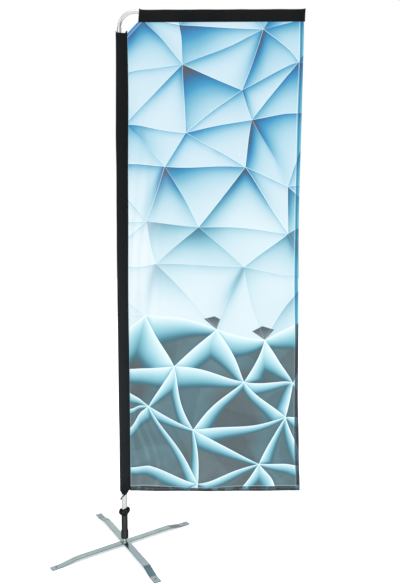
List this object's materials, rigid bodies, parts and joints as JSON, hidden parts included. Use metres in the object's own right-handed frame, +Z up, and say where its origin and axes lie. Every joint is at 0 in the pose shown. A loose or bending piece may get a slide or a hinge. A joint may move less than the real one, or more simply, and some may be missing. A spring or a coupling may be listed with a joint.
{
  "type": "rectangular sleeve flag on a cross base",
  "caption": "Tall rectangular fabric flag held by a pole in a side sleeve and a bent arm in a top pocket, on a rotator and a folding flat-bar cross base.",
  "frame": {"origin": "on the ground, on the pole's axis, at the lower end face of the spindle, level with the undersides of the four feet", "axes": "+Z up the pole; +X along the arm towards the flag's free edge; the flag's face looks along -Y"},
  "size_m": [1.3757, 0.7932, 2.9998],
  "materials": {
    "zinc": "satin",
    "bright_steel": "polished",
    "bearing_steel": "polished",
    "black_plastic": "satin",
    "silver_tube": "satin",
    "grey_plastic": "matte",
    "print_cloth": "matte",
    "hem_cloth": "matte",
    "black_cloth": "matte",
    "elastic": "matte"
  },
  "bodies": {
    "base": {"upper_cross_bar": "zinc", "spindle": "bright_steel", "spindle_nut": "bright_steel", "nut_washer": "bright_steel", "lower_bearing_inner_ring": "bearing_steel", "upper_bearing_inner_ring": "bearing_steel", "bearing_spacer": "silver_tube", "retaining_ring": "bearing_steel"},
    "lower_bar": {"lower_cross_bar": "zinc"},
    "rotator": {"rotator_lower_cap": "black_plastic", "rotator_housing": "black_plastic", "pole_spigot": "grey_plastic", "hook_collar": "black_plastic", "lower_bearing_outer_ring": "bearing_steel", "upper_bearing_outer_ring": "bearing_steel", "lower_bearing_balls_in_cage": "bearing_steel", "upper_bearing_balls_in_cage": "bearing_steel", "tension_cord": "elastic", "cord_knot": "elastic"},
    "pole": {"pole_lower_section": "silver_tube", "pole_middle_section": "silver_tube", "pole_upper_section": "silver_tube", "lower_joint_collar": "grey_plastic", "upper_joint_collar": "grey_plastic", "elbow_bush": "grey_plastic", "elbow_tube": "silver_tube", "arm_tube": "silver_tube", "arm_joiner": "grey_plastic", "arm_end_plug": "black_plastic", "pole_sleeve": "black_cloth", "arm_pocket": "black_cloth", "flag_panel": "print_cloth", "side_hem": "hem_cloth", "bottom_hem": "hem_cloth", "corner_hem": "hem_cloth"}
  },
  "joints": [
    {"name": "leg_fold", "type": "hinge", "parent": "base", "child": "lower_bar", "pos_m": [0, 0, 0.0172], "axis": [0, 0, 1], "range_deg": [-89, 74.5]},
    {"name": "flag_swivel", "type": "hinge", "parent": "base", "child": "rotator", "pos_m": [0, 0, 0.1], "axis": [0, 0, 1], "continuous": true},
    {"name": "pole_lift", "type": "slide", "parent": "rotator", "child": "pole", "axis": [0, 0, 1], "range_m": [0, 0.06], "deforming": ["tension_cord"]}
  ]
}
